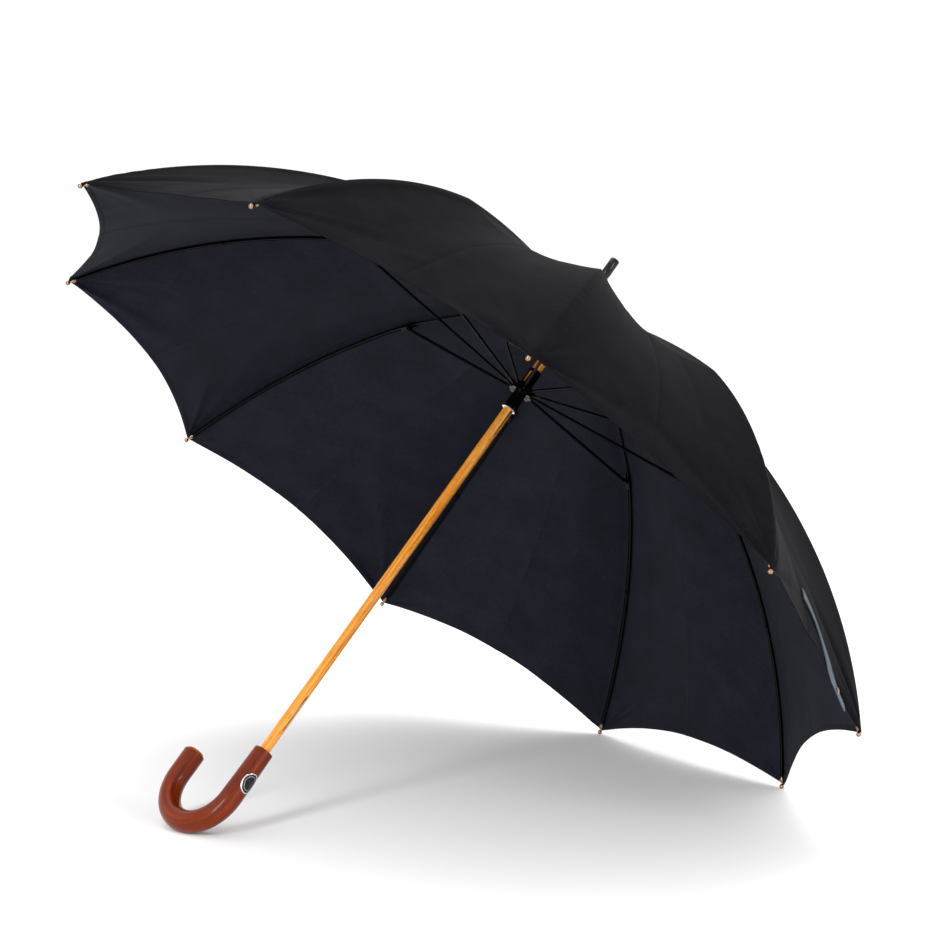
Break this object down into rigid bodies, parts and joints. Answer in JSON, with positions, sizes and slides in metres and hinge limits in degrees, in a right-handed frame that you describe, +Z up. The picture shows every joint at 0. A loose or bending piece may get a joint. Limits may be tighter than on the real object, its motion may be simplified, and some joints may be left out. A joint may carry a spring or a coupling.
{
  "type": "stick umbrella",
  "caption": "Open stick umbrella with a black cloth cover, wooden shaft and crook handle, folding by a sliding runner.",
  "frame": {"origin": "on the floor, under the middle of the open umbrella as it lies on two rib tips and its crook", "axes": "+Z up; the shaft leans over +X; +Y is across the open cover, its longest extent"},
  "size_m": [0.8346, 1.176, 0.7813],
  "materials": {
    "shaft_wood": "clear varnished straight-grained ash or maple",
    "handle_wood": "red-brown stain under gloss lacquer",
    "badge": "black enamel with a bright rim",
    "black_metal": "gloss black coated steel",
    "ferrule": "satin black pressed metal",
    "black_plastic": "moulded, gloss",
    "brass": "plated, polished",
    "spring_steel": "bright drawn wire",
    "cover": "plain-woven black pongee",
    "strap": "folded and stitched black pongee"
  },
  "bodies": {
    "shaft_and_handle": {"shaft": "shaft_wood", "crook_handle": "handle_wood", "handle_badge": "badge", "ferrule": "ferrule", "crown_notch": "black_plastic"},
    "runner": {"runner": "black_plastic"},
    "top_catch": {"top_catch": "spring_steel"},
    "bottom_catch": {"bottom_catch": "spring_steel"},
    "rib_01_inner": {"rib_01_inner": "black_metal", "canopy_01": "cover"},
    "rib_01_outer": {"rib_01_outer": "black_metal", "rib_01_tip": "brass"},
    "stretcher_01": {"stretcher_01": "black_metal"},
    "rib_02_inner": {"rib_02_inner": "black_metal", "canopy_02": "cover"},
    "rib_02_outer": {"rib_02_outer": "black_metal", "rib_02_tip": "brass"},
    "stretcher_02": {"stretcher_02": "black_metal"},
    "rib_03_inner": {"rib_03_inner": "black_metal", "canopy_03": "cover"},
    "rib_03_outer": {"rib_03_outer": "black_metal", "rib_03_tip": "brass"},
    "stretcher_03": {"stretcher_03": "black_metal"},
    "rib_04_inner": {"rib_04_inner": "black_metal", "canopy_04": "cover"},
    "rib_04_outer": {"rib_04_outer": "black_metal", "rib_04_tip": "brass"},
    "stretcher_04": {"stretcher_04": "black_metal"},
    "rib_05_inner": {"rib_05_inner": "black_metal", "canopy_05": "cover"},
    "rib_05_outer": {"rib_05_outer": "black_metal", "rib_05_tip": "brass"},
    "stretcher_05": {"stretcher_05": "black_metal"},
    "rib_06_inner": {"rib_06_inner": "black_metal", "canopy_06": "cover"},
    "rib_06_outer": {"rib_06_outer": "black_metal", "rib_06_tip": "brass"},
    "stretcher_06": {"stretcher_06": "black_metal"},
    "rib_07_inner": {"rib_07_inner": "black_metal", "canopy_07": "cover"},
    "rib_07_outer": {"rib_07_outer": "black_metal", "rib_07_tip": "brass"},
    "stretcher_07": {"stretcher_07": "black_metal"},
    "rib_08_inner": {"rib_08_inner": "black_metal", "canopy_08": "cover"},
    "rib_08_outer": {"rib_08_outer": "black_metal", "rib_08_tip": "brass"},
    "stretcher_08": {"stretcher_08": "black_metal"},
    "rib_09_inner": {"rib_09_inner": "black_metal", "canopy_09": "cover"},
    "rib_09_outer": {"rib_09_outer": "black_metal", "rib_09_tip": "brass", "tie_strap": "strap", "strap_snap": "brass"},
    "stretcher_09": {"stretcher_09": "black_metal"},
    "rib_10_inner": {"rib_10_inner": "black_metal", "canopy_10": "cover"},
    "rib_10_outer": {"rib_10_outer": "black_metal", "rib_10_tip": "brass"},
    "stretcher_10": {"stretcher_10": "black_metal"}
  },
  "joints": [
    {"name": "rib_01_fold", "type": "hinge", "parent": "shaft_and_handle", "child": "rib_01_inner", "pos_m": [0.20458, 0.00371, 0.59059], "axis": [-0.2274, 0.9511, 0.2093], "range_deg": [0, 74.5], "deforming": ["canopy_01"]},
    {"name": "rib_01_flex", "type": "hinge", "parent": "rib_01_inner", "child": "rib_01_outer", "pos_m": [0.36661, 0.09199, 0.36543], "axis": [-0.2274, 0.9511, 0.2093], "range_deg": [-26.18, 0]},
    {"name": "stretcher_01_swing", "type": "hinge", "parent": "rib_01_inner", "child": "stretcher_01", "pos_m": [0.36019, 0.0912, 0.36205], "axis": [-0.2274, 0.9511, 0.2093], "range_deg": [-149.1, 0]},
    {"name": "rib_02_fold", "type": "hinge", "parent": "shaft_and_handle", "child": "rib_02_inner", "pos_m": [0.20137, 0.00971, 0.59354], "axis": [-0.5952, 0.5878, 0.5479], "range_deg": [0, 74.5], "deforming": ["canopy_02"]},
    {"name": "rib_02_flex", "type": "hinge", "parent": "rib_02_inner", "child": "rib_02_outer", "pos_m": [0.28704, 0.24083, 0.43867], "axis": [-0.5952, 0.5878, 0.5479], "range_deg": [-26.18, 0]},
    {"name": "stretcher_02_swing", "type": "hinge", "parent": "rib_02_inner", "child": "stretcher_02", "pos_m": [0.28131, 0.23876, 0.43465], "axis": [-0.5952, 0.5878, 0.5479], "range_deg": [-149.1, 0]},
    {"name": "rib_03_fold", "type": "hinge", "parent": "shaft_and_handle", "child": "rib_03_inner", "pos_m": [0.19618, 0.012, 0.59832], "axis": [-0.7358, 0, 0.6772], "range_deg": [0, 74.5], "deforming": ["canopy_03"]},
    {"name": "rib_03_flex", "type": "hinge", "parent": "rib_03_inner", "child": "rib_03_outer", "pos_m": [0.1583, 0.29768, 0.55716], "axis": [-0.7358, 0, 0.6772], "range_deg": [-26.18, 0]},
    {"name": "stretcher_03_swing", "type": "hinge", "parent": "rib_03_inner", "child": "stretcher_03", "pos_m": [0.15367, 0.29513, 0.55213], "axis": [-0.7358, 0, 0.6772], "range_deg": [-149.1, 0]},
    {"name": "rib_04_fold", "type": "hinge", "parent": "shaft_and_handle", "child": "rib_04_inner", "pos_m": [0.19099, 0.00971, 0.60309], "axis": [-0.5952, -0.5878, 0.5479], "range_deg": [0, 74.5], "deforming": ["canopy_04"]},
    {"name": "rib_04_flex", "type": "hinge", "parent": "rib_04_inner", "child": "rib_04_outer", "pos_m": [0.02956, 0.24083, 0.67566], "axis": [-0.5952, -0.5878, 0.5479], "range_deg": [-26.18, 0]},
    {"name": "stretcher_04_swing", "type": "hinge", "parent": "rib_04_inner", "child": "stretcher_04", "pos_m": [0.02604, 0.23876, 0.66961], "axis": [-0.5952, -0.5878, 0.5479], "range_deg": [-149.1, 0]},
    {"name": "rib_05_fold", "type": "hinge", "parent": "shaft_and_handle", "child": "rib_05_inner", "pos_m": [0.18778, 0.00371, 0.60604], "axis": [-0.2274, -0.9511, 0.2093], "range_deg": [0, 74.5], "deforming": ["canopy_05"]},
    {"name": "rib_05_flex", "type": "hinge", "parent": "rib_05_inner", "child": "rib_05_outer", "pos_m": [-0.05, 0.09199, 0.7489], "axis": [-0.2274, -0.9511, 0.2093], "range_deg": [-26.18, 0]},
    {"name": "stretcher_05_swing", "type": "hinge", "parent": "rib_05_inner", "child": "stretcher_05", "pos_m": [-0.05284, 0.0912, 0.74222], "axis": [-0.2274, -0.9511, 0.2093], "range_deg": [-149.1, 0]},
    {"name": "rib_06_fold", "type": "hinge", "parent": "shaft_and_handle", "child": "rib_06_inner", "pos_m": [0.18778, -0.00371, 0.60604], "axis": [0.2274, -0.9511, -0.2093], "range_deg": [0, 74.5], "deforming": ["canopy_06"]},
    {"name": "rib_06_flex", "type": "hinge", "parent": "rib_06_inner", "child": "rib_06_outer", "pos_m": [-0.05, -0.09199, 0.7489], "axis": [0.2274, -0.9511, -0.2093], "range_deg": [-26.18, 0]},
    {"name": "stretcher_06_swing", "type": "hinge", "parent": "rib_06_inner", "child": "stretcher_06", "pos_m": [-0.05284, -0.0912, 0.74222], "axis": [0.2274, -0.9511, -0.2093], "range_deg": [-149.1, 0]},
    {"name": "rib_07_fold", "type": "hinge", "parent": "shaft_and_handle", "child": "rib_07_inner", "pos_m": [0.19099, -0.00971, 0.60309], "axis": [0.5952, -0.5878, -0.5479], "range_deg": [0, 74.5], "deforming": ["canopy_07"]},
    {"name": "rib_07_flex", "type": "hinge", "parent": "rib_07_inner", "child": "rib_07_outer", "pos_m": [0.02956, -0.24083, 0.67566], "axis": [0.5952, -0.5878, -0.5479], "range_deg": [-26.18, 0]},
    {"name": "stretcher_07_swing", "type": "hinge", "parent": "rib_07_inner", "child": "stretcher_07", "pos_m": [0.02604, -0.23876, 0.66961], "axis": [0.5952, -0.5878, -0.5479], "range_deg": [-149.1, 0]},
    {"name": "rib_08_fold", "type": "hinge", "parent": "shaft_and_handle", "child": "rib_08_inner", "pos_m": [0.19618, -0.012, 0.59832], "axis": [0.7358, 0, -0.6772], "range_deg": [0, 74.5], "deforming": ["canopy_08"]},
    {"name": "rib_08_flex", "type": "hinge", "parent": "rib_08_inner", "child": "rib_08_outer", "pos_m": [0.1583, -0.29768, 0.55716], "axis": [0.7358, 0, -0.6772], "range_deg": [-26.18, 0]},
    {"name": "stretcher_08_swing", "type": "hinge", "parent": "rib_08_inner", "child": "stretcher_08", "pos_m": [0.15367, -0.29513, 0.55213], "axis": [0.7358, 0, -0.6772], "range_deg": [-149.1, 0]},
    {"name": "rib_09_fold", "type": "hinge", "parent": "shaft_and_handle", "child": "rib_09_inner", "pos_m": [0.20137, -0.00971, 0.59354], "axis": [0.5952, 0.5878, -0.5479], "range_deg": [0, 74.5], "deforming": ["canopy_09"]},
    {"name": "rib_09_flex", "type": "hinge", "parent": "rib_09_inner", "child": "rib_09_outer", "pos_m": [0.28704, -0.24083, 0.43867], "axis": [0.5952, 0.5878, -0.5479], "range_deg": [-26.18, 0], "deforming": ["tie_strap"]},
    {"name": "stretcher_09_swing", "type": "hinge", "parent": "rib_09_inner", "child": "stretcher_09", "pos_m": [0.28131, -0.23876, 0.43465], "axis": [0.5952, 0.5878, -0.5479], "range_deg": [-149.1, 0]},
    {"name": "rib_10_fold", "type": "hinge", "parent": "shaft_and_handle", "child": "rib_10_inner", "pos_m": [0.20458, -0.00371, 0.59059], "axis": [0.2274, 0.9511, -0.2093], "range_deg": [0, 74.5], "deforming": ["canopy_10"]},
    {"name": "rib_10_flex", "type": "hinge", "parent": "rib_10_inner", "child": "rib_10_outer", "pos_m": [0.36661, -0.09199, 0.36543], "axis": [0.2274, 0.9511, -0.2093], "range_deg": [-26.18, 0]},
    {"name": "stretcher_10_swing", "type": "hinge", "parent": "rib_10_inner", "child": "stretcher_10", "pos_m": [0.36019, -0.0912, 0.36205], "axis": [0.2274, 0.9511, -0.2093], "range_deg": [-149.1, 0]},
    {"name": "runner_ride", "type": "hinge", "parent": "stretcher_01", "child": "runner", "pos_m": [0.11956, 0.00371, 0.49822], "axis": [-0.2274, 0.9511, 0.2093], "range_deg": [0, 74.6]},
    {"name": "top_catch_press", "type": "hinge", "parent": "shaft_and_handle", "child": "top_catch", "pos_m": [0.06608, -0.00318, 0.45639], "axis": [-0.7303, -0.1219, 0.6722], "range_deg": [0, 3.2], "stiffness_Nm_per_rad": 0.4, "springref_deg": -8.59},
    {"name": "bottom_catch_press", "type": "hinge", "parent": "shaft_and_handle", "child": "bottom_catch", "pos_m": [-0.24103, -0.00318, 0.12275], "axis": [-0.7303, -0.1219, 0.6722], "range_deg": [0, 3.2], "stiffness_Nm_per_rad": 0.4, "springref_deg": -8.59}
  ],
  "couplings": [
    {"joint": "rib_01_flex", "follows": "rib_01_fold", "ratio": -0.35},
    {"joint": "stretcher_01_swing", "follows": "rib_01_fold", "ratio": -2},
    {"joint": "rib_02_fold", "follows": "rib_01_fold", "ratio": 1},
    {"joint": "rib_02_flex", "follows": "rib_01_fold", "ratio": -0.35},
    {"joint": "stretcher_02_swing", "follows": "rib_01_fold", "ratio": -2},
    {"joint": "rib_03_fold", "follows": "rib_01_fold", "ratio": 1},
    {"joint": "rib_03_flex", "follows": "rib_01_fold", "ratio": -0.35},
    {"joint": "stretcher_03_swing", "follows": "rib_01_fold", "ratio": -2},
    {"joint": "rib_04_fold", "follows": "rib_01_fold", "ratio": 1},
    {"joint": "rib_04_flex", "follows": "rib_01_fold", "ratio": -0.35},
    {"joint": "stretcher_04_swing", "follows": "rib_01_fold", "ratio": -2},
    {"joint": "rib_05_fold", "follows": "rib_01_fold", "ratio": 1},
    {"joint": "rib_05_flex", "follows": "rib_01_fold", "ratio": -0.35},
    {"joint": "stretcher_05_swing", "follows": "rib_01_fold", "ratio": -2},
    {"joint": "rib_06_fold", "follows": "rib_01_fold", "ratio": 1},
    {"joint": "rib_06_flex", "follows": "rib_01_fold", "ratio": -0.35},
    {"joint": "stretcher_06_swing", "follows": "rib_01_fold", "ratio": -2},
    {"joint": "rib_07_fold", "follows": "rib_01_fold", "ratio": 1},
    {"joint": "rib_07_flex", "follows": "rib_01_fold", "ratio": -0.35},
    {"joint": "stretcher_07_swing", "follows": "rib_01_fold", "ratio": -2},
    {"joint": "rib_08_fold", "follows": "rib_01_fold", "ratio": 1},
    {"joint": "rib_08_flex", "follows": "rib_01_fold", "ratio": -0.35},
    {"joint": "stretcher_08_swing", "follows": "rib_01_fold", "ratio": -2},
    {"joint": "rib_09_fold", "follows": "rib_01_fold", "ratio": 1},
    {"joint": "rib_09_flex", "follows": "rib_01_fold", "ratio": -0.35},
    {"joint": "stretcher_09_swing", "follows": "rib_01_fold", "ratio": -2},
    {"joint": "rib_10_fold", "follows": "rib_01_fold", "ratio": 1},
    {"joint": "rib_10_flex", "follows": "rib_01_fold", "ratio": -0.35},
    {"joint": "stretcher_10_swing", "follows": "rib_01_fold", "ratio": -2},
    {"joint": "runner_ride", "follows": "rib_01_fold", "ratio": 1}
  ]
}
